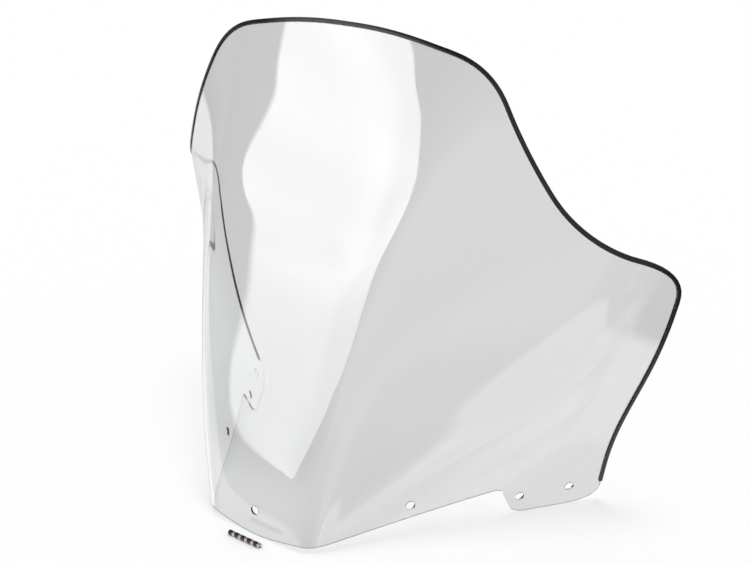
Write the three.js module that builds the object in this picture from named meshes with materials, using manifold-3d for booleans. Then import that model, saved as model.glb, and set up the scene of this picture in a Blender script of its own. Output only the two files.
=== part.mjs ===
// A clear motorcycle windshield screen with its rubber edge trim and its five loose fixing inserts.
// Millimetres, +Z up. The nose points along -Y, and the screen is symmetric about X = 0.
import * as THREE from 'three';
import { mergeVertices } from 'three/addons/utils/BufferGeometryUtils.js';
import Module from 'manifold-3d';

const wasm = await Module();
wasm.setup();

// ---- The formed sheet --------------------------------------------------------------------------
const SHEET_THICKNESS = 2.5;
const FORM_HEIGHT = 528;        // height over which the form changes from its base to its crown
const RAKE = 163.3;             // how far the centre line leans back over that height
const WALL_SLOPE = [1.84, 0.35];  // depth gained per millimetre past the bend, at the base and at the crown
const BEND_X = [73.5, 145.5];   // half width of the nose at the bend, at the base and at the crown
const BEND_SOFTNESS = [6.2, 18.5];  // the bend is tight at the base and wide at the crown
const WALL_BOW = [0.00152, 0.00044];  // inward bow of the side walls, at the base and at the crown
const FRONT_CURVE = 0.0002;     // slight crown across the front
const FLARE_X = [247, 347];     // half width where the wing turns further back
const FLARE_SLOPE = 0.95;       // extra depth per millimetre out on the wing
const FLARE_SOFTNESS = 14;

// ---- The outline in the front view, right half: [x, z, reach of the rounding] ---------------------
const BASE_FRONT = [[0, 0, 0], [14, 0, 12], [58, 7, 8], [76, 7, 8], [88, 10.3, 0]];
const BASE_SIDE = [[88, 10.3, 0], [180, 36, 0]];
const BASE_TAB = [[180, 36, 0], [194.5, 40, 6], [197, 0, 10], [230, 0, 0]];
const TAB_HEEL = [[230, 0, 0], [257, 0, 27], [263, 28, 0]];
const CROWN = [[0, 535, 0], [60, 535, 51], [128, 523, 0]];
const SHOULDER = [[128, 523, 0], [177.5, 512, 41], [270, 352, 47], [310, 325, 0]];
const WING = [[310, 325, 0], [346.5, 304, 39], [324, 209.5, 45], [278.5, 90, 38], [263, 28, 0]];

// ---- How finely the sheet is divided ---------------------------------------------------------------
const FRONT_COLUMNS = 10;
const SIDE_COLUMNS = 20;
const WING_COLUMNS = 24;
const ROWS = 12;

// ---- Fixing holes: [x, z] of each centre in the front view ------------------------------------------
const HOLE_RADIUS = 5.3;
const HOLE_SIDES = 20;
const HOLES = [[0, 30], [136.5, 40], [205, 24], [240, 27]];

// ---- Edge trim: a U-channel over the edge ----------------------------------------------------------
const GAP = 0.3;                // clearance between touching pieces
const TRIM_LEG = 0.65;
const TRIM_WEB = 1.3;
const TRIM_GRIP = 3.2;          // how far each leg reaches over the sheet
const TRIM_CHAMFER = 0.9;

// ---- Inserts: a rubber sleeve on a metal bush, lying end to end in front of the nose ----------------
const INSERT_COUNT = 5;
const INSERT_PITCH = 9.25;
const INSERT_ROW_Y = -17.5;     // the row's distance in front of the nose
const SLEEVE_LENGTH = 5;
const SLEEVE_RADIUS = 2.8;
const BUSH_LENGTH = INSERT_PITCH - GAP;
const BUSH_HEAD_RADIUS = 2.7;
const BUSH_CORE_RADIUS = 1.8;
const BUSH_BORE_RADIUS = 1;
const INSERT_CHAMFER = 0.3;
const INSERT_SIDES = 20;

const assembly = new THREE.Group();

function addPiece(name, geometry, colour, roughness, metalness) {
  const material = new THREE.MeshStandardMaterial({ color: colour, roughness, metalness });
  const mesh = new THREE.Mesh(geometry, material);
  mesh.name = name;
  assembly.add(mesh);
  return mesh;
}

// ---- The form: depth as a function of half width and height ------------------------------------------
function softRamp(distance, softness) {
  return softness * Math.log1p(Math.exp(distance / softness));
}

function depthAt(x, z) {
  const rise = z / FORM_HEIGHT;
  const slope = THREE.MathUtils.lerp(WALL_SLOPE[0], WALL_SLOPE[1], rise);
  const bend = THREE.MathUtils.lerp(BEND_X[0], BEND_X[1], rise);
  const softness = THREE.MathUtils.lerp(BEND_SOFTNESS[0], BEND_SOFTNESS[1], rise);
  const flareStart = THREE.MathUtils.lerp(FLARE_X[0], FLARE_X[1], rise);
  const bow = THREE.MathUtils.lerp(WALL_BOW[0], WALL_BOW[1], rise);
  const flare = FLARE_SLOPE * (1 - (1 - rise) ** 2);
  const across = (half) => {
    const past = softRamp(half - bend, softness);
    const wing = softRamp(half - flareStart, FLARE_SOFTNESS);
    return slope * past - bow * past * past + flare * wing + FRONT_CURVE * half * half;
  };
  return RAKE * rise * rise + across(Math.abs(x)) - across(0);
}

function normalAt(x, z) {
  const step = 0.5;
  const slopeX = (depthAt(x + step, z) - depthAt(x - step, z)) / (2 * step);
  const slopeZ = (depthAt(x, z + step) - depthAt(x, z - step)) / (2 * step);
  return new THREE.Vector3(-slopeX, 1, -slopeZ).normalize();
}

function pointAt(x, z, offset = 0) {
  return new THREE.Vector3(x, depthAt(x, z), z).addScaledVector(normalAt(x, z), offset);
}

// ---- Outline stretches, divided evenly along the real edge --------------------------------------------
function roundedPath(corners) {
  const points = corners.map(([x, z]) => new THREE.Vector2(x, z));
  const path = new THREE.CurvePath();
  let from = points[0];
  for (let i = 1; i < points.length - 1; i += 1) {
    const before = points[i].clone().sub(points[i - 1]).setLength(corners[i][2]);
    const after = points[i + 1].clone().sub(points[i]).setLength(corners[i][2]);
    const start = points[i].clone().sub(before);
    const end = points[i].clone().add(after);
    path.add(new THREE.LineCurve(from, start));
    path.add(new THREE.QuadraticBezierCurve(start, points[i], end));
    from = end;
  }
  path.add(new THREE.LineCurve(from, points[points.length - 1]));
  return path;
}

function divideEvenly(corners, count) {
  const fine = roundedPath(corners).getSpacedPoints(400);
  const lengths = [0];
  for (let i = 1; i < fine.length; i += 1) {
    const step = pointAt(fine[i].x, fine[i].y).distanceTo(pointAt(fine[i - 1].x, fine[i - 1].y));
    lengths.push(lengths[i - 1] + step);
  }
  const total = lengths[lengths.length - 1];
  const divided = [];
  let k = 1;
  for (let i = 0; i <= count; i += 1) {
    const target = (total * i) / count;
    while (k < lengths.length - 1 && lengths[k] < target) k += 1;
    const share = (target - lengths[k - 1]) / (lengths[k] - lengths[k - 1]);
    divided.push(fine[k - 1].clone().lerp(fine[k], THREE.MathUtils.clamp(share, 0, 1)));
  }
  return divided;
}

function joinStretches(stretches) {
  return stretches.flatMap((points, i) => (i === 0 ? points : points.slice(1)));
}

const lowerEdge = joinStretches([
  divideEvenly(BASE_FRONT, FRONT_COLUMNS),
  divideEvenly(BASE_SIDE, SIDE_COLUMNS),
  divideEvenly(BASE_TAB, WING_COLUMNS),
]);
const upperEdge = joinStretches([
  divideEvenly(CROWN, FRONT_COLUMNS),
  divideEvenly(SHOULDER, SIDE_COLUMNS),
  divideEvenly(WING, WING_COLUMNS),
]);
const heel = divideEvenly(TAB_HEEL, ROWS);

// Columns of front-view points from the lower edge to the upper edge, from the centre to the heel.
function halfColumns() {
  const last = lowerEdge.length - 1;
  return lowerEdge.map((low, i) => {
    const blend = Math.max(0, (i - last + WING_COLUMNS) / WING_COLUMNS) ** 3;
    const column = [];
    for (let j = 0; j <= ROWS; j += 1) {
      const straight = low.clone().lerp(upperEdge[i], j / ROWS);
      const chord = heel[0].clone().lerp(heel[ROWS], j / ROWS);
      column.push(straight.addScaledVector(heel[j].clone().sub(chord), blend));
    }
    return column;
  });
}

function mirrored(point) {
  return new THREE.Vector2(-point.x, point.y);
}

function sheetGeometry() {
  const right = halfColumns();
  const left = right.slice(1).reverse().map((column) => column.map(mirrored));
  const columns = [...left, ...right];
  const positions = [];
  const faces = [];
  for (const offset of [-SHEET_THICKNESS / 2, SHEET_THICKNESS / 2]) {
    for (const column of columns) {
      for (const point of column) positions.push(...pointAt(point.x, point.y, offset));
    }
  }
  const perColumn = ROWS + 1;
  const back = columns.length * perColumn;
  const quad = (a, b, c, d) => faces.push(a, b, c, a, c, d);
  for (let i = 0; i < columns.length - 1; i += 1) {
    for (let j = 0; j < ROWS; j += 1) {
      const a = i * perColumn + j;
      const b = a + perColumn;
      quad(a, b, b + 1, a + 1);
      quad(back + a, back + a + 1, back + b + 1, back + b);
    }
    const low = i * perColumn;
    const high = low + ROWS;
    quad(low, back + low, back + low + perColumn, low + perColumn);
    quad(high, high + perColumn, back + high + perColumn, back + high);
  }
  const end = (columns.length - 1) * perColumn;
  for (let j = 0; j < ROWS; j += 1) {
    quad(j, j + 1, back + j + 1, back + j);
    quad(end + j, back + end + j, back + end + j + 1, end + j + 1);
  }
  const geometry = new THREE.BufferGeometry();
  geometry.setAttribute('position', new THREE.Float32BufferAttribute(positions, 3));
  geometry.setIndex(faces);
  return geometry;
}

// ---- Cutting ------------------------------------------------------------------------------------------
function toSolid(geometry) {
  const bare = geometry.clone();
  bare.deleteAttribute('normal');
  bare.deleteAttribute('uv');
  const merged = mergeVertices(bare, 1e-4);
  return new wasm.Manifold(new wasm.Mesh({
    numProp: 3,
    vertProperties: new Float32Array(merged.attributes.position.array),
    triVerts: new Uint32Array(merged.index.array),
  }));
}

function toGeometry(solid) {
  const mesh = solid.getMesh();
  const geometry = new THREE.BufferGeometry();
  geometry.setAttribute('position', new THREE.BufferAttribute(mesh.vertProperties, 3));
  geometry.setIndex(new THREE.BufferAttribute(mesh.triVerts, 1));
  return geometry;
}

function holeTool(x, z) {
  const tool = new THREE.CylinderGeometry(HOLE_RADIUS, HOLE_RADIUS, 6 * SHEET_THICKNESS, HOLE_SIDES);
  const turn = new THREE.Quaternion().setFromUnitVectors(new THREE.Vector3(0, 1, 0), normalAt(x, z));
  const centre = pointAt(x, z);
  tool.applyMatrix4(new THREE.Matrix4().compose(centre, turn, new THREE.Vector3(1, 1, 1)));
  return toSolid(tool);
}

function drilledSheet() {
  let sheet = toSolid(sheetGeometry());
  for (const [x, z] of HOLES) {
    for (const side of x === 0 ? [1] : [1, -1]) sheet = sheet.subtract(holeTool(side * x, z));
  }
  return toGeometry(sheet);
}

// ---- The trim: its U-section swept along the upper edge ---------------------------------------------------
function trimSection() {
  const inner = SHEET_THICKNESS / 2 + GAP;
  const outer = inner + TRIM_LEG;
  const crest = GAP + TRIM_WEB;
  return [
    [-TRIM_GRIP, outer], [crest - TRIM_CHAMFER, outer], [crest, outer - TRIM_CHAMFER],
    [crest, TRIM_CHAMFER - outer], [crest - TRIM_CHAMFER, -outer], [-TRIM_GRIP, -outer],
    [-TRIM_GRIP, -inner], [GAP, -inner], [GAP, inner], [-TRIM_GRIP, inner],
  ];
}

function trimGeometry() {
  const route = [...upperEdge.slice(1).reverse().map(mirrored), ...upperEdge];
  const centres = route.map((point) => pointAt(point.x, point.y));
  const section = trimSection();
  const positions = [];
  route.forEach((point, i) => {
    const ahead = centres[Math.min(i + 1, route.length - 1)];
    const behind = centres[Math.max(i - 1, 0)];
    const tangent = ahead.clone().sub(behind).normalize();
    const normal = normalAt(point.x, point.y);
    const outward = tangent.clone().cross(normal).normalize();
    for (const [out, across] of section) {
      const corner = centres[i].clone().addScaledVector(outward, out).addScaledVector(normal, across);
      positions.push(...corner);
    }
  });
  const sides = section.length;
  const faces = [];
  for (let i = 0; i < route.length - 1; i += 1) {
    for (let j = 0; j < sides; j += 1) {
      const a = i * sides + j;
      const b = i * sides + ((j + 1) % sides);
      faces.push(a, b, b + sides, a, b + sides, a + sides);
    }
  }
  const flat = section.map(([out, across]) => new THREE.Vector2(out, across));
  const last = (route.length - 1) * sides;
  for (const [a, b, c] of THREE.ShapeUtils.triangulateShape(flat, [])) {
    faces.push(a, b, c);
    faces.push(last + a, last + c, last + b);
  }
  const geometry = new THREE.BufferGeometry();
  geometry.setAttribute('position', new THREE.Float32BufferAttribute(positions, 3));
  geometry.setIndex(faces);
  return geometry;
}

// ---- Inserts ----------------------------------------------------------------------------------------------
function turned(profile) {
  const points = profile.map(([radius, along]) => new THREE.Vector2(radius, along));
  const geometry = new THREE.LatheGeometry([...points, points[0].clone()], INSERT_SIDES);
  geometry.rotateZ(-Math.PI / 2);
  return geometry;
}

function sleeveGeometry() {
  const bore = BUSH_CORE_RADIUS + GAP;
  return turned([
    [bore, 0], [SLEEVE_RADIUS - INSERT_CHAMFER, 0], [SLEEVE_RADIUS, INSERT_CHAMFER],
    [SLEEVE_RADIUS, SLEEVE_LENGTH], [bore, SLEEVE_LENGTH],
  ]);
}

function bushGeometry() {
  const shoulder = SLEEVE_LENGTH + GAP;
  return turned([
    [BUSH_BORE_RADIUS, 0], [BUSH_CORE_RADIUS, 0], [BUSH_CORE_RADIUS, shoulder], [BUSH_HEAD_RADIUS, shoulder],
    [BUSH_HEAD_RADIUS, BUSH_LENGTH - INSERT_CHAMFER], [BUSH_HEAD_RADIUS - INSERT_CHAMFER, BUSH_LENGTH],
    [BUSH_BORE_RADIUS, BUSH_LENGTH],
  ]);
}

const screenSheet = addPiece('screen_sheet', drilledSheet(), 0xd4d7d8, 0.05, 0);
addPiece('edge_trim', trimGeometry(), 0x17181a, 0.5, 0);
for (let i = 0; i < INSERT_COUNT; i += 1) {
  const x = (i - INSERT_COUNT / 2) * INSERT_PITCH;
  const sleeve = addPiece(`insert_sleeve_${i + 1}`, sleeveGeometry(), 0x0c0c0d, 0.35, 0);
  const bush = addPiece(`insert_bush_${i + 1}`, bushGeometry(), 0xb9aca6, 0.3, 0.9);
  for (const piece of [sleeve, bush]) piece.position.set(x, INSERT_ROW_Y, SLEEVE_RADIUS);
}

// The screen stands on the floor, and the origin is at the middle of the assembly's footprint.
screenSheet.geometry.computeBoundingBox();
const standing = -screenSheet.geometry.boundingBox.min.z;
for (const piece of assembly.children) {
  if (!piece.name.startsWith('insert_')) piece.position.z += standing;
}
const box = new THREE.Box3().setFromObject(assembly);
assembly.position.set(0, -(box.min.y + box.max.y) / 2, 0);
assembly.updateMatrixWorld(true);

export default assembly;
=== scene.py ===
"""A clear motorcycle windshield screen with its rubber edge trim and five loose fixing inserts.

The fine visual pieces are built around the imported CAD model, in the same frame and in metres.
The form is worked out in millimetres, as on the drawing, and scaled when a mesh is made.
"""

import math

import bpy
import numpy as np
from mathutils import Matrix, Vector, geometry


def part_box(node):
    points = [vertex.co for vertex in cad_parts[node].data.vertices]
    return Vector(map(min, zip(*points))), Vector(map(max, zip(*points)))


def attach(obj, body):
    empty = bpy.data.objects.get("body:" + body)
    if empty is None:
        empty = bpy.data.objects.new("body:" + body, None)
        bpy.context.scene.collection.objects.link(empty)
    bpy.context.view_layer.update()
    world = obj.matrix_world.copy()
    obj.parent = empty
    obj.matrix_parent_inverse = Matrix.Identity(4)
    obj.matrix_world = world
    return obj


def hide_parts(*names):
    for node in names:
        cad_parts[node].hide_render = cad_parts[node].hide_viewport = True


MM = 0.001

# ---- The formed sheet ----------------------------------------------------------------------------
# Lengths are in millimetres. A pair holds a value at the form's base and the same one at its crown.
SHEET_THICKNESS = 2.5
FORM_HEIGHT = 528.0        # height over which the form changes from the one to the other
RAKE = 163.3               # how far the centre line leans back over that height
FRONT_CURVE = 0.0002       # depth gained per millimetre off the centre line squared
BEND_X = (73.5, 145.5)     # half width of the nose, at the bend into the side wall
BEND_SOFTNESS = (6.2, 18.5)
WALL_SLOPE = (1.84, 0.35)  # depth that the wall gains per millimetre past the bend
WALL_BOW = (0.00152, 0.00044)    # depth that it loses again, per millimetre past the bend squared
FLARE_X = (247.0, 347.0)   # half width where the wing starts to flare
FLARE_SLOPE = 0.95         # the flare's slope, which grows from none at the base to this at the crown
FLARE_SOFTNESS = 14.0
EDGE_ROUND = 0.45          # the saw-cut edge is flame polished to this radius

# ---- The outline in the front view, right half: (x, z, reach of the rounding) --------------------
LOWER_EDGE = (
    (0, 0, 0), (14, 0, 12), (58, 7, 8), (76, 7, 8), (88, 10.3, 0), (180, 36, 0),
    (194.5, 40, 6), (197, 0, 10), (230, 0, 0), (257, 0, 27), (263, 28, 0),
)
UPPER_EDGE = (
    (0, 535, 0), (60, 535, 51), (128, 523, 0), (177.5, 512, 41), (270, 352, 47),
    (310, 325, 0), (346.5, 304, 39), (324, 209.5, 45), (278.5, 90, 38), (263, 28, 0),
)
HOLE_RADIUS = 5.3
HOLES = ((0, 30), (136.5, 40), (205, 24), (240, 27))  # centres; all but the first are on both sides

# ---- How finely the sheet is divided -------------------------------------------------------------
FACE_SPACING = 5.0         # size of the triangles on the faces
FACE_CLEARANCE = 2.75      # least distance from their inner corners to an edge
EDGE_SPACING = 1.8
HOLE_SPACING = 0.8
ROUND_STEPS = 3            # strips on each quarter of a rounded edge
CORNER_STEPS = 10          # steps along a rounded corner of the outline
FINE_STEP = 0.25           # lines are measured and slopes are taken over this length
UNROLL_HEIGHT = 220.0      # height of the cross-section by which the faces are divided
UNROLL_REACH = 360.0       # its half width
UNROLL_STEP = 0.5
MERGE_DISTANCE = 1e-6      # points closer than this count as one
BLOCK = 2000               # how many points are compared with a loop at once

# ---- Edge trim -----------------------------------------------------------------------------------
TRIM_HALF_WIDTH = 2.2
TRIM_CREST = 1.6           # how far its back stands out from the sheet's edge
TRIM_GRIP = 3.2            # how far its lips reach in over the sheet
TRIM_SLOT = 1.5            # half width of the slot behind the lips
TRIM_LIP = 1.3             # half width between the lips, which close on the sheet
TRIM_LIP_LENGTH = 0.8
TRIM_SLOT_START = 1.3      # from the lips' tips, where the slot has its full width
TRIM_SLOT_END = 0.3        # gap between the slot's bottom and the sheet's edge
# One side of its U-section: (out from the sheet's edge, across the sheet, reach of the rounding).
TRIM_SIDE = (
    (TRIM_CREST, TRIM_HALF_WIDTH, 1.35), (-TRIM_GRIP, TRIM_HALF_WIDTH, 0.3), (-TRIM_GRIP, TRIM_LIP, 0.2),
    (TRIM_LIP_LENGTH - TRIM_GRIP, TRIM_LIP, 0.25), (TRIM_SLOT_START - TRIM_GRIP, TRIM_SLOT, 0.2),
    (TRIM_SLOT_END, TRIM_SLOT, 0.3),
)
TRIM_SPACING = 2.0
TRIM_END_ROUND = 0.12

# ---- Inserts -------------------------------------------------------------------------------------
INSERT_COUNT = 5
INSERT_SEGMENTS = 96       # steps round a sleeve or bush
PROFILE_STEPS = 5          # steps along a rounded corner of the sleeve and of the trim's section
SLEEVE_EDGE = 0.35         # rounding of the sleeve's ends
SLEEVE_BORE_EDGE = 0.15
SLEEVE_FIT = 0.05          # gap between the sleeve's bore and the bush's core
GROOVES = (0.36, 0.64)     # middles of the moulded grooves, as shares of the sleeve's length
GROOVE_HALF = 0.06         # half the width of a groove, as the same kind of share
GROOVE_DEPTH = 0.12
GROOVE_EDGE = 0.1          # rounding at a groove's sides
GROOVE_BOTTOM = 0.15       # and at its bottom
BUSH_STEPS = 4             # steps along a rounded corner of the bush
BUSH_CORE = 1.8            # radius of the part of the bush that sits in the sleeve
BUSH_BORE = 1.0
BUSH_HEAD = 3.65           # length of the bush's head
BUSH_CHAMFER = 0.3
BUSH_MOUTH = 1.95          # radius of the counterbore in the end of the bush
MOUTH_TAPER = 0.15
MOUTH_DEPTH = 1.9
MOUTH_END = 2.3            # depth at which it has narrowed to the bore
THREAD_PITCH = 1.2
THREAD_DEPTH = 0.34
THREAD_FADE = 0.4          # length over which the thread runs out at each end
THREAD_RINGS = 60          # steps along the thread

# ---- Materials: each pair holds the two colours or roughnesses that a surface varies between ------
CLEAR_TINT = ((0.915, 0.925, 0.925, 1), (0.935, 0.94, 0.94, 1))
CLEAR_ROUGHNESS = (0.003, 0.012)
CLEAR_IOR = 1.585
LIGHT_PASSED = ((0.96, 0.965, 0.965, 1), (0.2, 0.2, 0.2, 1))    # by the sheet face on, and edge on
EDGE_ON_POWER = 6.0        # how late towards the edge-on view that change comes
SCATTER_PASSED = (0.985, 0.985, 0.985, 1)    # by the sheet, of light that matt things scatter
RUBBER_IOR = 1.38
TRIM_COLOUR = ((0.004, 0.0042, 0.005, 1), (0.011, 0.0115, 0.013, 1))
TRIM_ROUGHNESS = (0.15, 0.24)
SLEEVE_COLOUR = ((0.005, 0.0045, 0.005, 1), (0.014, 0.012, 0.013, 1))
SLEEVE_ROUGHNESS = (0.25, 0.42)
BUSH_COLOUR = ((0.3, 0.23, 0.23, 1), (0.62, 0.52, 0.52, 1))
BUSH_ROUGHNESS = (0.2, 0.42)

# ---- Camera: metres, millimetres of lens, and degrees --------------------------------------------
CAMERA_AZIMUTH = 37.96     # from straight in front, towards +X
CAMERA_ELEVATION = 21.65
CAMERA_DISTANCE = 1.4534
CAMERA_TARGET = (0.0391, 0.0250, 0.2572)
CAMERA_LENS = 63.5
CAMERA_SENSOR = 36.0
CAMERA_CLIP = (0.01, 100.0)

# ---- Studio light: a soft key from above and an even fill ----------------------------------------
KEY_STRENGTH = 0.9
KEY_ANGLE = 18.0
KEY_AZIMUTH = 60.0
KEY_ELEVATION = 84.0
FILL = 0.82
BACKGROUND = 0.985         # what the camera sees past the floor
# The world seen through the screen is painted darker than it is past the floor. This is painted shade that
# gives the screen its grey look.
BEHIND = 0.74              # and what it sees there through the screen

# ---- Floor ---------------------------------------------------------------------------------------
FLOOR_HALF = 14.0          # metres
FLOOR_CELLS = 8
FLOOR_DROP = 0.02          # millimetres below the screen's lowest point
FLOOR_WHITE = 0.9
FLOOR_MOTTLE = 0.006
# The floor seen through the screen is painted darker than when it is seen directly. This is painted shade
# that gives the screen most of its grey look.
FLOOR_PAINTED_SHADE = 0.635       # as seen through the screen
FLOOR_FILL = 0.6           # as it lights other things

# ---- Painted reflections: what the screen mirrors, in degrees of azimuth and elevation ------------
# A softbox, room and table are painted into the world for mirror rays only, and they light nothing.
# The softbox: its sides as (elevation, azimuth), its brightest line as (elevation, share of the way
# across), what is left away from that line as (share, part), and its brightness by elevation.
SOFTBOX_LEFT = (
    (-21.5, -33), (-19.3, -39.4), (-16, -42), (-8, -43), (0, -42), (8, -43), (13, -45), (17, -52.5),
    (24, -51), (30, -55), (40, -66),
)
SOFTBOX_RIGHT = (
    (-24, -60), (-21.3, -34), (-18.5, -28), (-15, -17), (-9.6, 6), (-4, 17), (3, 14.5), (9.5, 11.5),
    (15, 15.5), (20, 12.5), (26, 3), (33.3, -16), (36.9, -34), (39.4, -42), (45, -70),
)
SOFTBOX_EDGE = 0.8         # half the width of its soft sides
SOFTBOX_RIDGE = ((-22, 0.3), (0, 0.15), (9, 0.2), (15, 0.45), (30, 0.43), (40, 0.4))
SOFTBOX_ACROSS = ((0, 1), (0.1, 0.97), (0.24, 0.85), (0.6, 0.81), (1, 0.78))
SOFTBOX_GLOW = (
    (-22, 2.45), (-10, 2.55), (0, 2.75), (5, 3.0), (11, 3.9), (16, 4.1), (21, 3.8), (27, 4.2),
    (34, 3.8), (40, 3.8),
)
SOFTBOX_CLOTH = 0.92       # part left in the folds of its cloth
# The room, a painted reflection that lights nothing: its brightness low down and high up by azimuth, the
# elevations between which it changes from one to the other, and by azimuth how far its backdrop is
# creased.
SURROUND_LOW = (
    (-180, 0.4), (-95, 0.45), (-60, 0.6), (-45, 1.05), (-30, 0.98), (-10, 0.85), (10, 0.72), (30, 0.72),
    (45, 0.95), (56, 1.1), (64, 0.8), (75, 0.72), (85, 0.78), (92, 0.15), (110, 0.1), (180, 0.4),
)
SURROUND_HIGH = (
    (-180, 0.2), (-125, 0.22), (-95, 0.42), (-76, 0.2), (-58, 0.14), (-38, 0.12), (0, 0.3), (12, 0.45),
    (22, 0.72), (32, 1.0), (45, 0.92), (180, 0.5),
)
SURROUND_LEVELS = (-26, -16)
CREASE_DEPTH = 0.34
CREASED = ((-180, 0), (70, 0), (84, 1), (110, 1), (130, 0), (180, 0))
# The lit table, a painted reflection that lights nothing: its far edge as (azimuth, elevation), its
# brightness by azimuth, and the elevations between which it dims to this part of that at its front.
TABLE_EDGE = (
    (-100, -8), (-57, -13), (-42, -28), (-14, -33), (50, -42), (64, -39), (70, -39.5), (80, -43.8),
    (95, -44.6), (110, -45),
)
TABLE_SOFT = 0.8
TABLE_GLOW = ((-60, 0.62), (60, 0.78), (78, 0.8), (84, 0.66), (92, 1.4), (120, 1.4))
TABLE_FRONT = (-55.5, -54)
TABLE_FRONT_GLOW = 0.75


# ---- The form ------------------------------------------------------------------------------------
def smooth_curve(points, steps):
    """The points of a line through corners, each corner (x, y, reach) rounded over its reach."""
    corners = [np.array(p[:2], float) for p in points]
    path = [corners[0]]
    for i in range(1, len(points) - 1):
        reach = points[i][2]
        if reach == 0:
            path.append(corners[i])
            continue
        back = corners[i - 1] - corners[i]
        ahead = corners[i + 1] - corners[i]
        start = corners[i] + back * reach / np.linalg.norm(back)
        end = corners[i] + ahead * reach / np.linalg.norm(ahead)
        for t in np.linspace(0, 1, steps + 1):
            path.append((1 - t) ** 2 * start + 2 * t * (1 - t) * corners[i] + t * t * end)
    path.append(corners[-1])
    return np.array(path)


def soft_ramp(distance, softness):
    """No rise before zero and a slope of one after it, with a soft bend between."""
    return softness * np.logaddexp(0, distance / softness)


def between(pair, share):
    """The value at this share of the way through a pair."""
    return pair[0] + (pair[1] - pair[0]) * share


def unit(vectors):
    """The vectors scaled to a length of one."""
    return vectors / np.linalg.norm(vectors, axis=-1, keepdims=True)


def path_lengths(points):
    """How far along a line each of its points is."""
    return np.concatenate([[0], np.cumsum(np.linalg.norm(np.diff(points, axis=0), axis=1))])


def blocks(count):
    """Slices that take this many rows a block at a time, to spare memory."""
    return [slice(start, start + BLOCK) for start in range(0, count, BLOCK)]


def depth_at(x, z):
    """How far back the form lies at front-view points: raked, bent into side walls, and flared."""
    rise = z / FORM_HEIGHT
    slope = between(WALL_SLOPE, rise)
    bend = between(BEND_X, rise)
    softness = between(BEND_SOFTNESS, rise)
    flare_start = between(FLARE_X, rise)
    bow = between(WALL_BOW, rise)
    flare = FLARE_SLOPE * (1 - (1 - rise) ** 2)

    def across(half):
        past = soft_ramp(half - bend, softness)
        wing = soft_ramp(half - flare_start, FLARE_SOFTNESS)
        return slope * past - bow * past * past + flare * wing + FRONT_CURVE * half * half

    return RAKE * rise * rise + across(np.abs(x)) - across(0 * x)


def normal_at(x, z):
    """Unit normals of the form, pointing to the rider's side."""
    slope_x = (depth_at(x + FINE_STEP, z) - depth_at(x - FINE_STEP, z)) / (2 * FINE_STEP)
    slope_z = (depth_at(x, z + FINE_STEP) - depth_at(x, z - FINE_STEP)) / (2 * FINE_STEP)
    return unit(np.stack([-slope_x, np.ones_like(slope_x), -slope_z], -1))


def surface_at(flat):
    """Middle surface points over front-view points (x, z)."""
    x, z = flat[:, 0], flat[:, 1]
    return np.stack([x, depth_at(x, z), z], -1)


def divide(path, spacing):
    """The path in steps of about this length, measured on the real surface."""
    fine = []
    for a, b in zip(path[:-1], path[1:]):
        count = max(2, int(np.linalg.norm(b - a) / FINE_STEP))
        fine.extend(a + (b - a) * k / count for k in range(count))
    fine.append(path[-1])
    fine = np.array(fine)
    along = path_lengths(surface_at(fine))
    count = max(2, round(along[-1] / spacing))
    wanted = np.linspace(0, along[-1], count + 1)
    return np.stack([np.interp(wanted, along, fine[:, k]) for k in (0, 1)], -1)


def mirrored(path):
    """The left half of a line through the centre, from its right half."""
    return path[::-1] * (-1, 1)


def outline_loop():
    """The closed front-view outline, anticlockwise."""
    lower = divide(smooth_curve(LOWER_EDGE, CORNER_STEPS), EDGE_SPACING)
    upper = divide(smooth_curve(UPPER_EDGE, CORNER_STEPS), EDGE_SPACING)
    right = np.concatenate([lower, upper[::-1][1:]])
    return np.concatenate([right, mirrored(right)[1:-1]])


def hole_loop(x, z):
    """A round hole drilled square to the surface, as front-view points."""
    centre = surface_at(np.array([[x, z]], float))[0]
    normal = normal_at(np.array([float(x)]), np.array([float(z)]))[0]
    side = unit(np.cross(normal, (0, 0, 1)))
    up = np.cross(side, normal)
    count = round(2 * math.pi * HOLE_RADIUS / HOLE_SPACING)
    turn = np.linspace(0, 2 * math.pi, count, endpoint=False)[:, None]
    ring = centre + HOLE_RADIUS * (np.cos(turn) * side + np.sin(turn) * up)
    return ring[:, [0, 2]]


def inside(points, loop):
    """True for each point within the closed loop."""
    x, y = points[:, 0][:, None], points[:, 1][:, None]
    ax, ay = loop[:, 0], loop[:, 1]
    bx, by = np.roll(ax, -1), np.roll(ay, -1)
    found = np.zeros(len(points), bool)
    for rows in blocks(len(points)):
        spans = (ay > y[rows]) != (by > y[rows])
        with np.errstate(divide="ignore", invalid="ignore"):
            cut = ax + (y[rows] - ay) * (bx - ax) / (by - ay)
        found[rows] = (spans & (x[rows] < cut)).sum(1) % 2 == 1
    return found


def wall_lengths():
    """Half widths, and the length of the sheet's cross-section out to each, at a middling height."""
    half = np.linspace(0, UNROLL_REACH, int(UNROLL_REACH / UNROLL_STEP) + 1)
    slope = np.gradient(depth_at(half, 0 * half + UNROLL_HEIGHT), half)
    steps = np.sqrt(1 + slope[1:] ** 2) * UNROLL_STEP
    return half, np.concatenate([[0], np.cumsum(steps)])


def unrolled(flat):
    """Front-view points spread so that lengths across the walls are about true."""
    half, length = wall_lengths()
    across = np.interp(np.abs(flat[:, 0]), half, length) * np.sign(flat[:, 0])
    return np.stack([across, flat[:, 1]], -1)


def rolled(plane):
    """The reverse of unrolled."""
    half, length = wall_lengths()
    across = np.interp(np.abs(plane[:, 0]), length, half) * np.sign(plane[:, 0])
    return np.stack([across, plane[:, 1]], -1)


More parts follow.
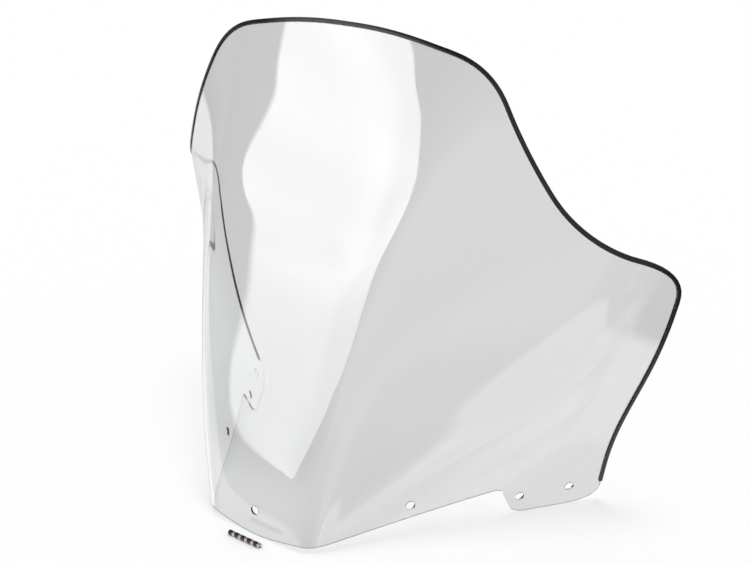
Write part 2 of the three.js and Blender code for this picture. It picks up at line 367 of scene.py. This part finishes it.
def face_points(loops):
    """Evenly staggered points inside the outline, kept off its edges and holes."""
    outline = unrolled(loops[0])
    low, high = outline.min(0), outline.max(0)
    heights = np.arange(low[1] + FACE_SPACING / 2, high[1], FACE_SPACING * math.sqrt(3) / 2)
    points = []
    for i, z in enumerate(heights):
        start = low[0] + (i % 2) * FACE_SPACING / 2
        across = np.arange(start, high[0], FACE_SPACING)
        points.append(np.stack([across, np.full(len(across), z)], -1))
    points = np.concatenate(points)
    points = points[inside(points, outline)]
    for loop in loops:
        edge = unrolled(loop)
        clear = np.ones(len(points), bool)
        for rows in blocks(len(points)):
            gap = points[rows][:, None] - edge[None]
            clear[rows] = (gap ** 2).sum(-1).min(1) > FACE_CLEARANCE ** 2
        points = points[clear]
        if loop is not loops[0]:
            points = points[~inside(points, edge)]
    return rolled(points)


def loop_frame(flat, hole):
    """Surface points, normals and directions out of the material along a closed loop."""
    solid = surface_at(flat)
    normal = normal_at(flat[:, 0], flat[:, 1])
    along = unit(np.roll(solid, -1, 0) - np.roll(solid, 1, 0))
    out = unit(np.cross(along, normal))
    if ((solid - solid.mean(0)) * out).sum() < 0:
        out = -out
    return solid, normal, -out if hole else out


# ---- Meshes --------------------------------------------------------------------------------------
def new_object(name, vertices, faces, material, normals=None, uvs=None):
    """An object from vertices in millimetres, smooth shaded, with its own corner normals if given."""
    mesh = bpy.data.meshes.new(name)
    mesh.from_pydata((np.asarray(vertices) * MM).tolist(), [], faces)
    if uvs is not None:
        layer = mesh.uv_layers.new(name="UVMap")
        layer.data.foreach_set("uv", np.asarray(uvs, np.float32).ravel())
    mesh.polygons.foreach_set("use_smooth", [True] * len(mesh.polygons))
    mesh.validate()
    mesh.update()
    if normals is not None:
        mesh.normals_split_custom_set([tuple(n) for n in normals])
    mesh.materials.append(material)
    piece = bpy.data.objects.new(name, mesh)
    bpy.context.scene.collection.objects.link(piece)
    return piece


def sheet_loops():
    """The outline, and the loop of each hole."""
    loops = [outline_loop()]
    for x, z in HOLES:
        for side in (1, -1) if x else (1,):
            loops.append(hole_loop(side * x, z))
    return loops


def face_triangles(loops, flat):
    """Triangles over the front-view points, inside the outline and outside the holes."""
    plane = unrolled(flat)
    edges = []
    start = 0
    for loop in loops:
        count = len(loop)
        edges.extend((start + k, start + (k + 1) % count) for k in range(count))
        start += count
    cut = geometry.delaunay_2d_cdt([Vector(p) for p in plane], edges, [], 0, MERGE_DISTANCE)
    corners = np.array([list(triangle) for triangle in cut[2]])
    origin = np.array([ids[0] for ids in cut[3]])
    triangles = origin[corners]
    middles = plane[triangles].mean(1)
    keep = inside(middles, unrolled(loops[0]))
    for loop in loops[1:]:
        keep &= ~inside(middles, unrolled(loop))
    triangles = triangles[keep]
    a, b, c = (plane[triangles[:, k]] for k in range(3))
    turn = (b[:, 0] - a[:, 0]) * (c[:, 1] - a[:, 1]) - (b[:, 1] - a[:, 1]) * (c[:, 0] - a[:, 0])
    triangles[turn < 0] = triangles[turn < 0][:, ::-1]
    return triangles


def edge_rings(vertices, front, back, points, normals, out):
    """Loops round a cut edge from the front face to the back one, each as its vertices and normals."""
    quarter = np.linspace(0, math.pi / 2, ROUND_STEPS + 1)
    angles = [*(-math.pi / 2 + quarter), *quarter]
    flat_half = SHEET_THICKNESS / 2 - EDGE_ROUND
    rings = []
    for k, angle in enumerate(angles):
        side = -1 if k <= ROUND_STEPS else 1
        lean = out * math.cos(angle) + normals * math.sin(angle)
        if k == 0:
            ring = front
        elif k == len(angles) - 1:
            ring = back
        else:
            centre = points - out * EDGE_ROUND + normals * side * flat_half
            ring = range(len(vertices), len(vertices) + len(points))
            vertices.extend(centre + lean * EDGE_ROUND)
        rings.append((ring, lean))
    return rings


def edge_strips(vertices, rings):
    """Faces between neighbouring loops, turned outwards, and the normals at their corners."""
    faces = []
    shading = []
    for (low, low_lean), (high, high_lean) in zip(rings[:-1], rings[1:]):
        for i in range(len(low)):
            j = (i + 1) % len(low)
            quad = [(low[i], low_lean[i]), (low[j], low_lean[j]),
                    (high[j], high_lean[j]), (high[i], high_lean[i])]
            p = [vertices[q[0]] for q in quad]
            if np.dot(np.cross(p[1] - p[0], p[3] - p[0]), low_lean[i] + high_lean[i]) < 0:
                quad.reverse()
            faces.append(tuple(q[0] for q in quad))
            shading.extend(q[1] for q in quad)
    return faces, shading


def build_sheet():
    """The sheet: two formed faces, with rounded edges all round and through each hole."""
    loops = sheet_loops()
    flat = np.concatenate([*loops, face_points(loops)])
    total = len(flat)
    middle = surface_at(flat)
    normal = normal_at(flat[:, 0], flat[:, 1])
    edges = []
    start = 0
    for loop in loops:
        end = start + len(loop)
        points, normals, out = loop_frame(loop, loop is not loops[0])
        middle[start:end] -= out * EDGE_ROUND
        edges.append((range(start, end), range(total + start, total + end), points, normals, out))
        start = end

    half = SHEET_THICKNESS / 2
    vertices = [*(middle - normal * half), *(middle + normal * half)]
    faces = []
    shading = []
    for triangle in face_triangles(loops, flat):
        faces.append(tuple(int(k) for k in triangle))
        shading.extend(-normal[k] for k in triangle)
        faces.append(tuple(int(k) + total for k in triangle[::-1]))
        shading.extend(normal[k] for k in triangle[::-1])
    for edge in edges:
        strips, strip_shading = edge_strips(vertices, edge_rings(vertices, *edge))
        faces.extend(strips)
        shading.extend(strip_shading)
    return np.array(vertices), faces, shading


# ---- Trim and inserts ----------------------------------------------------------------------------
def trim_section():
    """The closed U-section of the trim, as points (out, across)."""
    other_side = [(out, -across, reach) for out, across, reach in reversed(TRIM_SIDE)]
    crest = (TRIM_CREST, 0, 0)
    return smooth_curve([crest, *TRIM_SIDE, *other_side, crest], PROFILE_STEPS)[:-1]


def section_normals(ring):
    """Unit normals in the plane of a closed section, pointing out of it."""
    along = unit(np.roll(ring, -1, 0) - np.roll(ring, 1, 0))
    lean = np.stack([-along[:, 1], along[:, 0]], -1)
    return lean if ((ring - ring.mean(0)) * lean).sum() > 0 else -lean


def swept_faces(along, girth):
    """Faces and UVs of a closed section swept through stations, and of its two flat ends.

    The UVs are how far along each station is and how far round the section each point is.
    """
    count = len(girth) - 1
    faces = []
    uvs = []
    for i, (low, high) in enumerate(zip(along[:-1], along[1:])):
        for j in range(count):
            k = (j + 1) % count
            faces.append((i * count + j, (i + 1) * count + j, (i + 1) * count + k, i * count + k))
            uvs.extend([(low, girth[j]), (high, girth[j]), (high, girth[j + 1]), (low, girth[j + 1])])
    last = (len(along) - 1) * count
    faces.append(tuple(range(count)))
    uvs.extend((along[0], around) for around in girth[:-1])
    faces.append(tuple(last + j for j in reversed(range(count))))
    uvs.extend((along[-1], around) for around in girth[:-1][::-1])
    return faces, uvs


def build_trim():
    """The trim's section swept along the upper edge, with softened cut ends."""
    half = divide(smooth_curve(UPPER_EDGE, CORNER_STEPS), TRIM_SPACING)
    route = np.concatenate([mirrored(half)[:-1], half])
    centres = surface_at(route)
    normals = normal_at(route[:, 0], route[:, 1])
    tangents = unit(np.gradient(centres, axis=0))
    outward = unit(np.cross(tangents, normals))
    lengths = path_lengths(centres)
    ring = trim_section()
    small = ring - section_normals(ring) * TRIM_END_ROUND
    last = len(route) - 1
    stations = [(0, small, 0.0), (0, ring, TRIM_END_ROUND)]
    stations += [(i, ring, 0.0) for i in range(1, last)]
    stations += [(last, ring, -TRIM_END_ROUND), (last, small, 0.0)]
    vertices = []
    along = []
    for i, section, shift in stations:
        base = centres[i] + tangents[i] * shift
        vertices.extend(base + outward[i] * p[0] + normals[i] * p[1] for p in section)
        along.append(lengths[i] + shift)
    girth = path_lengths(np.concatenate([ring, ring[:1]]))
    faces, uvs = outward_faces(vertices, *swept_faces(along, girth))
    return np.array(vertices), faces, np.array(uvs) * MM


def outward_faces(vertices, faces, uvs=None):
    """Faces turned so that the closed mesh's volume is positive, with their UVs if given."""
    vertices = np.asarray(vertices)
    volume = 0.0
    for face in faces:
        a = vertices[face[0]]
        for b, c in zip(face[1:-1], face[2:]):
            volume += np.dot(a, np.cross(vertices[b], vertices[c]))
    if volume > 0:
        return faces, uvs
    turned = [tuple(reversed(face)) for face in faces]
    if uvs is None:
        return turned, None
    flipped = []
    start = 0
    for face in faces:
        flipped.extend(uvs[start:start + len(face)][::-1])
        start += len(face)
    return turned, flipped


def turned_mesh(profile, radius_at=None):
    """A closed profile of (radius, along) points turned about the X axis, and cut if asked."""
    vertices = []
    for radius, along in profile:
        for k in range(INSERT_SEGMENTS):
            angle = 2 * math.pi * k / INSERT_SEGMENTS
            reach = radius_at(radius, along, angle) if radius_at else radius
            vertices.append((along, reach * math.cos(angle), reach * math.sin(angle)))
    faces = []
    rings = len(profile)
    for i in range(rings):
        j = (i + 1) % rings
        for k in range(INSERT_SEGMENTS):
            after = (k + 1) % INSERT_SEGMENTS
            faces.append((i * INSERT_SEGMENTS + k, j * INSERT_SEGMENTS + k,
                          j * INSERT_SEGMENTS + after, i * INSERT_SEGMENTS + after))
    faces, _ = outward_faces(vertices, faces)
    return np.array(vertices), faces


def sleeve_profile(radius, length):
    """A rubber sleeve with rounded ends and shallow moulded grooves."""
    bore = BUSH_CORE + SLEEVE_FIT
    corners = [(bore, length / 2, 0), (bore, 0, SLEEVE_BORE_EDGE), (radius, 0, SLEEVE_EDGE)]
    for middle in GROOVES:
        corners.append((radius, length * (middle - GROOVE_HALF), GROOVE_EDGE))
        corners.append((radius - GROOVE_DEPTH, length * middle, GROOVE_BOTTOM))
        corners.append((radius, length * (middle + GROOVE_HALF), GROOVE_EDGE))
    corners += [(radius, length, SLEEVE_EDGE), (bore, length, SLEEVE_BORE_EDGE), (bore, length / 2, 0)]
    return smooth_curve(corners, PROFILE_STEPS)[:-1]


def bush_profile(length, head):
    """A metal bush: a plain core that sits in the sleeve, and a head with a counterbore."""
    shoulder = length - BUSH_HEAD
    thread_start = shoulder + BUSH_CHAMFER
    thread_end = length - BUSH_CHAMFER
    corners = [
        (BUSH_BORE, length / 2, 0), (BUSH_BORE, 0, 0.1), (BUSH_CORE, 0, 0.15),
        (BUSH_CORE, shoulder, 0.1), (head - THREAD_DEPTH, shoulder, 0.1),
        (head, thread_start, 0), (head, thread_end, 0), (head - BUSH_CHAMFER, length, 0.05),
        (BUSH_MOUTH, length, 0.08), (BUSH_MOUTH - MOUTH_TAPER, length - MOUTH_DEPTH, 0.1),
        (BUSH_BORE, length - MOUTH_END, 0), (BUSH_BORE, length / 2, 0),
    ]
    ring = smooth_curve(corners, BUSH_STEPS)[:-1]
    at = int(np.argmin(np.abs(ring - (head, thread_start)).sum(1)))
    along = np.linspace(thread_start, thread_end, THREAD_RINGS)
    threads = np.stack([np.full(THREAD_RINGS, head), along], -1)
    return np.concatenate([ring[:at], threads, ring[at + 2:]])


def thread_cut(length, head):
    """How the thread cuts into the bush's head: a function from a place on it to its radius there."""
    def radius_at(radius, along, angle):
        if radius < head:
            return radius
        from_end = min(along - (length - BUSH_HEAD), length - along) - BUSH_CHAMFER
        fade = min(1.0, max(0.0, from_end / THREAD_FADE))
        wave = 0.5 + 0.5 * math.cos(2 * math.pi * along / THREAD_PITCH - angle)
        return radius - THREAD_DEPTH * wave * fade

    return radius_at


# ---- Materials -----------------------------------------------------------------------------------
def new_material(name):
    """A material with an empty node tree."""
    material = bpy.data.materials.new(name)
    material.use_nodes = True
    tree = material.node_tree
    tree.nodes.clear()
    return material, tree


def add_node(tree, kind, inputs=(), **settings):
    """A node with its settings, and its inputs given as {name or index: value or socket}."""
    node = tree.nodes.new(kind)
    for name, value in settings.items():
        setattr(node, name, value)
    for key, value in dict(inputs).items():
        if isinstance(value, bpy.types.NodeSocket):
            tree.links.new(value, node.inputs[key])
        else:
            node.inputs[key].default_value = value
    return node


def maths(tree, operation, *values):
    """The result of a maths node."""
    return add_node(tree, "ShaderNodeMath", dict(enumerate(values)), operation=operation).outputs[0]


def mixed(tree, share, first, second):
    """A colour between two, by share."""
    node = add_node(tree, "ShaderNodeMix", {0: share, 6: first, 7: second}, data_type="RGBA")
    return node.outputs[2]


def spread(tree, value, low, high, to_low, to_high, kind="LINEAR"):
    """A value between low and high, mapped to lie between two others."""
    inputs = {0: value, 1: low, 2: high, 3: to_low, 4: to_high}
    return add_node(tree, "ShaderNodeMapRange", inputs, interpolation_type=kind).outputs[0]


def noise(tree, place, scale, detail, **inputs):
    """The value of a noise texture with this many cells per unit of place."""
    values = {"Vector": place, "Scale": scale, "Detail": detail, **inputs}
    return add_node(tree, "ShaderNodeTexNoise", values).outputs["Fac"]


def stretched(tree, place, scale):
    """Coordinates scaled by a different amount along each axis."""
    return add_node(tree, "ShaderNodeMapping", {"Vector": place, "Scale": scale}).outputs[0]


def bumped(tree, height, strength, distance):
    """The normals of a surface with this relief."""
    values = {"Strength": strength, "Distance": distance, "Height": height}
    return add_node(tree, "ShaderNodeBump", values).outputs[0]


def principled(tree, inputs):
    """The output of a Principled shader."""
    return add_node(tree, "ShaderNodeBsdfPrincipled", inputs).outputs[0]


def set_surface(tree, shader):
    """Gives the material this shader."""
    add_node(tree, "ShaderNodeOutputMaterial", {"Surface": shader})


def clear_material():
    """Clear polycarbonate: smooth, with a faint grey cast, slight ripple and fine wiping marks."""
    material, tree = new_material("clear_polycarbonate")
    place = add_node(tree, "ShaderNodeTexCoord").outputs["Object"]
    wiped = noise(tree, stretched(tree, place, (30, 30, 900)), 1.0, 3.0)
    glass = principled(tree, {
        "Base Color": mixed(tree, noise(tree, place, 6.0, 2.0), *CLEAR_TINT),
        "Roughness": spread(tree, wiped, 0.45, 0.75, *CLEAR_ROUGHNESS),
        "IOR": CLEAR_IOR,
        "Transmission Weight": 1.0,
        "Normal": bumped(tree, noise(tree, place, 16.0, 1.0), 0.25, 0.0002),
    })
    grazing = add_node(tree, "ShaderNodeLayerWeight", {"Blend": 0.5}).outputs["Facing"]
    passed = mixed(tree, maths(tree, "POWER", grazing, EDGE_ON_POWER), *LIGHT_PASSED)
    to_lights = add_node(tree, "ShaderNodeBsdfTransparent", {"Color": passed}).outputs[0]
    to_floor = add_node(tree, "ShaderNodeBsdfTransparent", {"Color": SCATTER_PASSED}).outputs[0]
    rays = add_node(tree, "ShaderNodeLightPath").outputs
    shader = add_node(tree, "ShaderNodeMixShader", {0: rays["Is Diffuse Ray"], 1: glass, 2: to_floor})
    shader = add_node(tree, "ShaderNodeMixShader",
                      {0: rays["Is Shadow Ray"], 1: shader.outputs[0], 2: to_lights})
    set_surface(tree, shader.outputs[0])
    return material


def trim_material():
    """Black extruded rubber: satin, with faint lines along its length and a little grey bloom."""
    material, tree = new_material("trim_rubber")
    coordinates = add_node(tree, "ShaderNodeTexCoord").outputs
    place = coordinates["Object"]
    lines = noise(tree, stretched(tree, coordinates["UV"], (25, 2600, 1)), 1.0, 4.0, Roughness=0.6)
    bloom = spread(tree, noise(tree, place, 40.0, 4.0), 0.35, 0.75, 0.0, 1.0)
    relief = maths(tree, "MULTIPLY_ADD", noise(tree, place, 1800.0, 2.0), 0.35, lines)
    set_surface(tree, principled(tree, {
        "Base Color": mixed(tree, bloom, *TRIM_COLOUR),
        "Roughness": spread(tree, lines, 0.3, 0.7, *TRIM_ROUGHNESS),
        "IOR": RUBBER_IOR,
        "Normal": bumped(tree, relief, 0.35, 0.0001),
    }))
    return material


def sleeve_material():
    """Moulded black rubber, slightly glossy, with fine pitting."""
    material, tree = new_material("sleeve_rubber")
    place = add_node(tree, "ShaderNodeTexCoord").outputs["Object"]
    cloud = noise(tree, place, 500.0, 3.0)
    set_surface(tree, principled(tree, {
        "Base Color": mixed(tree, cloud, *SLEEVE_COLOUR),
        "Roughness": spread(tree, cloud, 0.3, 0.7, *SLEEVE_ROUGHNESS),
        "IOR": RUBBER_IOR,
        "Normal": bumped(tree, noise(tree, place, 6000.0, 2.0), 0.3, 0.00005),
    }))
    return material


def bush_material():
    """Turned metal with a warm grey plating and fine tool marks round it."""
    material, tree = new_material("bush_metal")
    place = add_node(tree, "ShaderNodeTexCoord").outputs["Object"]
    marks = noise(tree, stretched(tree, place, (14000, 400, 400)), 1.0, 3.0)
    set_surface(tree, principled(tree, {
        "Base Color": mixed(tree, noise(tree, place, 700.0, 3.0), *BUSH_COLOUR),
        "Metallic": 1.0,
        "Roughness": spread(tree, marks, 0.3, 0.7, *BUSH_ROUGHNESS),
        "Normal": bumped(tree, marks, 0.3, 0.00003),
    }))
    return material


# ---- Studio --------------------------------------------------------------------------------------
def bounced(tree, depth):
    """One for a ray that has had at least one bounce of a kind, by its depth, and otherwise nought."""
    return maths(tree, "GREATER_THAN", depth, 0.5)


def by_path(tree, seen, through, mirror, lit):
    """The stage's colour as the camera sees it, through the screen, mirrored in it, or as fill light."""
    rays = add_node(tree, "ShaderNodeLightPath").outputs
    colour = mixed(tree, rays["Is Camera Ray"], lit, seen)
    colour = mixed(tree, bounced(tree, rays["Transmission Depth"]), colour, through)
    colour = mixed(tree, bounced(tree, rays["Glossy Depth"]), colour, mirror)
    return mixed(tree, bounced(tree, rays["Diffuse Depth"]), colour, lit)


def grey(value):
    """A neutral colour."""
    return (value, value, value, 1)


def curve_value(tree, value, points):
    """A smooth curve through points (value, result), held level past its ends."""
    places = [p[0] for p in points]
    results = [p[1] for p in points]
    first, last = min(places), max(places)
    low, high = min(results), max(results)
    node = add_node(tree, "ShaderNodeFloatCurve", {1: spread(tree, value, first, last, 0, 1)})
    curve = node.mapping.curves[0]
    placed = [((a - first) / (last - first), (b - low) / (high - low)) for a, b in points]
    curve.points[0].location = placed[0]
    curve.points[1].location = placed[-1]
    for point in placed[1:-1]:
        curve.points.new(*point)
    for point in curve.points:
        point.handle_type = "AUTO_CLAMPED"
    node.mapping.update()
    return spread(tree, node.outputs[0], 0, 1, low, high)


def product(tree, *values):
    """Several values multiplied together."""
    result = values[0]
    for value in values[1:]:
        result = maths(tree, "MULTIPLY", result, value)
    return result


def painted_softbox_reflection(tree, ray, azimuth, elevation):
    """The painted reflection of the softbox: lit between its curved sides, brightest along a line, with
    folds in its cloth.
    """
    left = maths(tree, "SUBTRACT", azimuth, curve_value(tree, elevation, SOFTBOX_LEFT))
    right = maths(tree, "SUBTRACT", curve_value(tree, elevation, SOFTBOX_RIGHT), azimuth)
    sides = []
    for side in (left, right):
        sides.append(spread(tree, side, -SOFTBOX_EDGE, SOFTBOX_EDGE, 0, 1, "SMOOTHSTEP"))
    share = maths(tree, "DIVIDE", left, maths(tree, "ADD", left, right))
    aside = maths(tree, "SUBTRACT", share, curve_value(tree, elevation, SOFTBOX_RIDGE))
    across = curve_value(tree, maths(tree, "ABSOLUTE", aside), SOFTBOX_ACROSS)
    cloth = spread(tree, noise(tree, ray, 3.2, 2.0), 0.35, 0.65, SOFTBOX_CLOTH, 1, "SMOOTHSTEP")
    return product(tree, *sides, across, cloth, curve_value(tree, elevation, SOFTBOX_GLOW))


def painted_table_reflection(tree, azimuth, elevation):
    """The painted reflection of the lit table top, from its far edge down to its near one."""
    above = maths(tree, "SUBTRACT", elevation, curve_value(tree, azimuth, TABLE_EDGE))
    table = spread(tree, above, -TABLE_SOFT, TABLE_SOFT, 1, 0, "SMOOTHSTEP")
    front = spread(tree, elevation, *TABLE_FRONT, TABLE_FRONT_GLOW, 1, "SMOOTHSTEP")
    return product(tree, table, front, curve_value(tree, azimuth, TABLE_GLOW))


def painted_room_reflection(tree, ray, azimuth, elevation):
    """The painted reflection of the room around, with its creased backdrop on the right."""
    low = curve_value(tree, azimuth, SURROUND_LOW)
    high = curve_value(tree, azimuth, SURROUND_HIGH)
    level = spread(tree, elevation, *SURROUND_LEVELS, 0, 1, "SMOOTHSTEP")
    around = maths(tree, "MULTIPLY_ADD", level, maths(tree, "SUBTRACT", high, low), low)
    creases = noise(tree, ray, 9.0, 1.0, Distortion=1.6)
    crumple = spread(tree, creases, 0.3, 0.7, -CREASE_DEPTH, CREASE_DEPTH)
    crumple = product(tree, crumple, curve_value(tree, azimuth, CREASED))
    return maths(tree, "MULTIPLY_ADD", around, crumple, around)


def build_world():
    """White around the camera, painted darker through the screen as painted shade, and for the screen's
    reflections a painted studio with a large softbox, which only mirror rays see.
    """
    world = bpy.data.worlds.new("studio")
    bpy.context.scene.world = world
    world.use_nodes = True
    world.cycles.sampling_method = "NONE"
    tree = world.node_tree
    tree.nodes.clear()
    ray = add_node(tree, "ShaderNodeTexCoord").outputs["Generated"]
    axes = add_node(tree, "ShaderNodeSeparateXYZ", {0: ray}).outputs
    elevation = maths(tree, "DEGREES", maths(tree, "ARCSINE", axes[2]))
    ahead = maths(tree, "MULTIPLY", axes[1], -1)
    azimuth = maths(tree, "DEGREES", maths(tree, "ARCTAN2", axes[0], ahead))
    value = maths(tree, "ADD", painted_table_reflection(tree, azimuth, elevation),
                  painted_room_reflection(tree, ray, azimuth, elevation))
    value = maths(tree, "ADD", value, painted_softbox_reflection(tree, ray, azimuth, elevation))
    # Only mirror rays see these painted reflections of a softbox, room and table. Diffuse rays get the
    # even fill.
    mirror = add_node(tree, "ShaderNodeCombineColor", {0: value, 1: value, 2: value}).outputs[0]
    # Through the screen the world is painted darker. This is painted shade.
    colour = by_path(tree, grey(BACKGROUND), grey(BEHIND), mirror, grey(FILL))
    shade = add_node(tree, "ShaderNodeBackground", {0: colour, 1: 1.0})
    add_node(tree, "ShaderNodeOutputWorld", {0: shade.outputs[0]})


def direction(azimuth, elevation):
    """The unit vector to a place at this azimuth and elevation in degrees."""
    a, e = math.radians(azimuth), math.radians(elevation)
    return Vector((math.sin(a) * math.cos(e), -math.cos(a) * math.cos(e), math.sin(e)))


def build_floor():
    """A white floor, painted darker where it is seen through the screen as painted shade. The world holds
    what the screen mirrors, so mirrored rays pass the floor.
    """
    paper, tree = new_material("floor_paper")
    place = add_node(tree, "ShaderNodeTexCoord").outputs["Object"]
    seen = mixed(tree, noise(tree, place, 90.0, 3.0), grey(FLOOR_WHITE), grey(FLOOR_WHITE + FLOOR_MOTTLE))
    # Painted shade: through the screen the floor is darker than when it is seen directly.
    colour = by_path(tree, seen, grey(FLOOR_PAINTED_SHADE), grey(FLOOR_PAINTED_SHADE), grey(FLOOR_FILL))
    matt = add_node(tree, "ShaderNodeBsdfDiffuse", {0: colour}).outputs[0]
    clear = add_node(tree, "ShaderNodeBsdfTransparent").outputs[0]
    mirror_ray = bounced(tree, add_node(tree, "ShaderNodeLightPath").outputs["Glossy Depth"])
    shader = add_node(tree, "ShaderNodeMixShader", {0: mirror_ray, 1: matt, 2: clear})
    set_surface(tree, shader.outputs[0])
    steps = np.linspace(-FLOOR_HALF, FLOOR_HALF, FLOOR_CELLS + 1) / MM
    vertices = [(x, y, -FLOOR_DROP) for y in steps for x in steps]
    faces = []
    for j in range(FLOOR_CELLS):
        for i in range(FLOOR_CELLS):
            near = j * (FLOOR_CELLS + 1) + i
            far = near + FLOOR_CELLS + 1
            faces.append((near, near + 1, far + 1, far))
    floor = new_object("floor", vertices, faces, paper)
    floor.visible_glossy = False


def build_key_light():
    """A broad soft light from nearly overhead, which the screen neither mirrors nor shows."""
    lamp = bpy.data.lights.new("key", "SUN")
    lamp.energy = KEY_STRENGTH
    lamp.angle = math.radians(KEY_ANGLE)
    key = bpy.data.objects.new("key", lamp)
    towards = direction(KEY_AZIMUTH, KEY_ELEVATION)
    key.rotation_euler = towards.to_track_quat("Z", "Y").to_euler()
    key.visible_glossy = False
    key.visible_transmission = False
    bpy.context.scene.collection.objects.link(key)


def build_camera():
    """The camera, looking at the screen from in front and above."""
    camera = bpy.data.objects.new("camera", bpy.data.cameras.new("camera"))
    camera.data.lens = CAMERA_LENS
    camera.data.sensor_width = CAMERA_SENSOR
    camera.data.clip_start, camera.data.clip_end = CAMERA_CLIP
    away = direction(CAMERA_AZIMUTH, CAMERA_ELEVATION)
    camera.location = Vector(CAMERA_TARGET) + away * CAMERA_DISTANCE
    camera.rotation_euler = away.to_track_quat("Z", "Y").to_euler()
    bpy.context.scene.collection.objects.link(camera)
    bpy.context.scene.camera = camera


# ---- Scene ---------------------------------------------------------------------------------------
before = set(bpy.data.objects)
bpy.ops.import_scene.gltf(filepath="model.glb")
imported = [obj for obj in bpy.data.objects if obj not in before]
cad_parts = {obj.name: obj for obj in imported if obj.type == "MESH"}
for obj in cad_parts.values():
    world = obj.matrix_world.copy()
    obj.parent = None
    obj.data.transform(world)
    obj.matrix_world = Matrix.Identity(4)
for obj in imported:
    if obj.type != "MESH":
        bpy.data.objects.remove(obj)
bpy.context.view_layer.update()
bpy.context.scene.view_settings.view_transform = "Standard"
build_camera()
build_world()
build_key_light()
build_floor()

sheet_vertices, sheet_faces, sheet_shading = build_sheet()
sheet_low = np.array(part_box("screen_sheet")[0]) / MM
shift = np.array([0, sheet_low[1] - sheet_vertices[:, 1].min(), sheet_low[2] - sheet_vertices[:, 2].min()])
sheet = new_object("clear_sheet", sheet_vertices + shift, sheet_faces, clear_material(), sheet_shading)
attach(sheet, "root")
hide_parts("screen_sheet")

trim_vertices, trim_faces, trim_uvs = build_trim()
trim = new_object("rubber_trim", trim_vertices + shift, trim_faces, trim_material(), uvs=trim_uvs)
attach(trim, "root")
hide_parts("edge_trim")

sleeve_look = sleeve_material()
bush_look = bush_material()
for number in range(1, INSERT_COUNT + 1):
    low, high = (np.array(corner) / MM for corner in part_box(f"insert_sleeve_{number}"))
    bush_low, bush_high = (np.array(corner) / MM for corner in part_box(f"insert_bush_{number}"))
    place = np.array([low[0], (low[1] + high[1]) / 2, (low[2] + high[2]) / 2])

    vertices, faces = turned_mesh(sleeve_profile((high[2] - low[2]) / 2, high[0] - low[0]))
    sleeve = new_object(f"rubber_sleeve_{number}", vertices + place, faces, sleeve_look)
    sleeve.visible_glossy = False
    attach(sleeve, "root")
    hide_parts(f"insert_sleeve_{number}")

    head = (bush_high[2] - bush_low[2]) / 2
    length = bush_high[0] - bush_low[0]
    vertices, faces = turned_mesh(bush_profile(length, head), thread_cut(length, head))
    bush = new_object(f"metal_bush_{number}", vertices + place, faces, bush_look)
    bush.visible_glossy = False
    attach(bush, "root")
    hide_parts(f"insert_bush_{number}")
